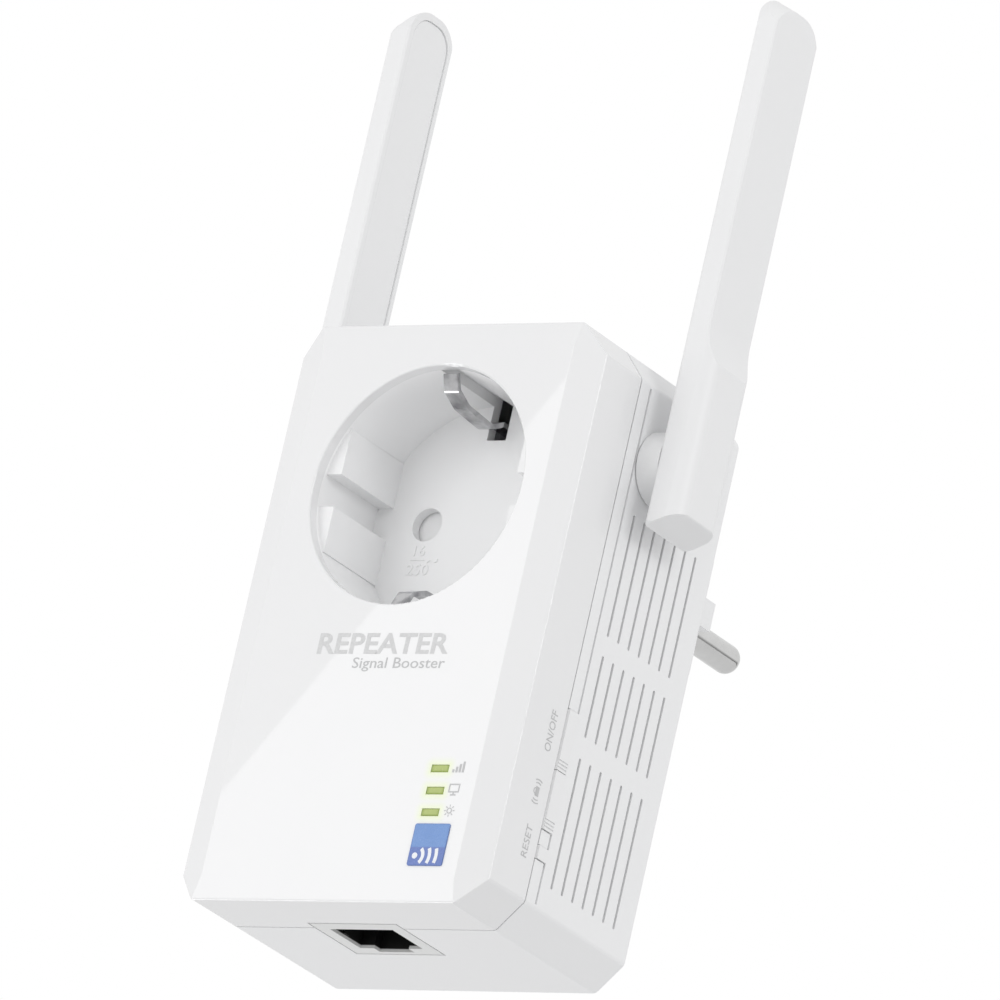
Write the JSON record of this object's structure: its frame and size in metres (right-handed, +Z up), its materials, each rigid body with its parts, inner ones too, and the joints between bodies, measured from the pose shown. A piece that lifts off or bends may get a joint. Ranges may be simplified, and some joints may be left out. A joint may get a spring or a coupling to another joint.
{
  "type": "wifi range extender",
  "caption": "White plug-in wifi range extender with a pass-through mains socket, side buttons, an ethernet jack and two folding antennas.",
  "frame": {"origin": "centre of the mains plug's face, between its two pins", "axes": "+Y out of the back along the plug's pins, into the wall; +Z up the casing towards the antennas' tips; +X to the right seen from the front"},
  "size_m": [0.0784, 0.0766, 0.1564],
  "materials": {
    "case_white": "smooth gloss white",
    "well_white": "satin white",
    "antenna_white": "smooth gloss white",
    "button_white": "fine matt white",
    "jack_grey": "matt light grey",
    "shutter_grey": "matt grey",
    "earth_metal": "bright nickel plate",
    "pin_metal": "bright nickel plate",
    "contact_brass": "plain brass",
    "contact_gilt": "gilt",
    "board_green": "solder resist",
    "chip_black": "matt black",
    "shield_tin": "tinned",
    "ferrite_grey": "sintered ferrite",
    "winding_amber": "polyester tape",
    "can_aluminium": "sleeved can",
    "fuse_ceramic": "ceramic",
    "sheet_film": "translucent film",
    "led_white": "epoxy",
    "guide_clear": "clear acrylic, lit green",
    "badge_blue": "printed film",
    "coax_black": "matt jacket",
    "screw_steel": "zinc plate",
    "clip_steel": "spring steel",
    "washer_fibre": "fibre",
    "element_copper": "copper"
  },
  "bodies": {
    "casing": {"front_cover": "case_white", "rear_cover": "case_white", "socket_well": "well_white", "contact_carrier": "shutter_grey", "earth_strap": "earth_metal", "line_contact": "contact_brass", "neutral_contact": "contact_brass", "plug_body": "well_white", "line_pin": "pin_metal", "neutral_pin": "pin_metal", "plug_earth_contacts": "pin_metal", "main_board": "board_green", "power_board": "board_green", "insulation_sheet": "sheet_film", "transformer_core": "ferrite_grey", "transformer_winding": "winding_amber", "capacitors": "can_aluminium", "line_filter": "winding_amber", "fuse": "fuse_ceramic", "rf_shield": "shield_tin", "board_chips": "chip_black", "status_leds": "led_white", "light_guide": "guide_clear", "badge": "badge_blue", "ethernet_jack": "jack_grey", "ethernet_contacts": "contact_gilt", "power_switch": "chip_black", "pair_switch": "chip_black", "reset_switch": "chip_black", "case_screws": "screw_steel", "antenna_coax_right": "coax_black", "antenna_coax_left": "coax_black", "coax_connector_right": "contact_gilt", "coax_connector_left": "contact_gilt"},
    "antenna_right": {"antenna_shell_right": "antenna_white", "antenna_lid_right": "antenna_white", "antenna_element_right": "element_copper", "antenna_feed_right": "coax_black", "hinge_barrel_right": "antenna_white", "retaining_clip_right": "clip_steel", "friction_washer_right": "washer_fibre"},
    "antenna_left": {"antenna_shell_left": "antenna_white", "antenna_lid_left": "antenna_white", "antenna_element_left": "element_copper", "antenna_feed_left": "coax_black", "hinge_barrel_left": "antenna_white", "retaining_clip_left": "clip_steel", "friction_washer_left": "washer_fibre"},
    "power_button": {"power_button": "button_white"},
    "pair_button": {"pair_button": "button_white"},
    "reset_button": {"reset_button": "button_white"},
    "socket_shutter": {"shutter": "shutter_grey"}
  },
  "joints": [
    {"name": "antenna_right_hinge", "type": "hinge", "parent": "casing", "child": "antenna_right", "pos_m": [0.031, -0.0368, 0.0101], "axis": [1, 0, 0], "range_deg": [0, 180]},
    {"name": "antenna_left_hinge", "type": "hinge", "parent": "casing", "child": "antenna_left", "pos_m": [-0.031, -0.0368, 0.0101], "axis": [1, 0, 0], "range_deg": [0, 180]},
    {"name": "power_button_slide", "type": "slide", "parent": "casing", "child": "power_button", "axis": [-1, 0, 0], "range_m": [0, 0.0004], "stiffness_N_per_m": 600, "springref_m": -0.0005},
    {"name": "pair_button_slide", "type": "slide", "parent": "casing", "child": "pair_button", "axis": [-1, 0, 0], "range_m": [0, 0.0004], "stiffness_N_per_m": 600, "springref_m": -0.0005},
    {"name": "reset_button_slide", "type": "slide", "parent": "casing", "child": "reset_button", "axis": [-1, 0, 0], "range_m": [0, 0.0004], "stiffness_N_per_m": 600, "springref_m": -0.0005},
    {"name": "socket_shutter_turn", "type": "hinge", "parent": "casing", "child": "socket_shutter", "pos_m": [0, -0.0379, 0], "axis": [0, 1, 0], "range_deg": [0, 40], "stiffness_Nm_per_rad": 0.0005, "springref_deg": -17.19}
  ]
}
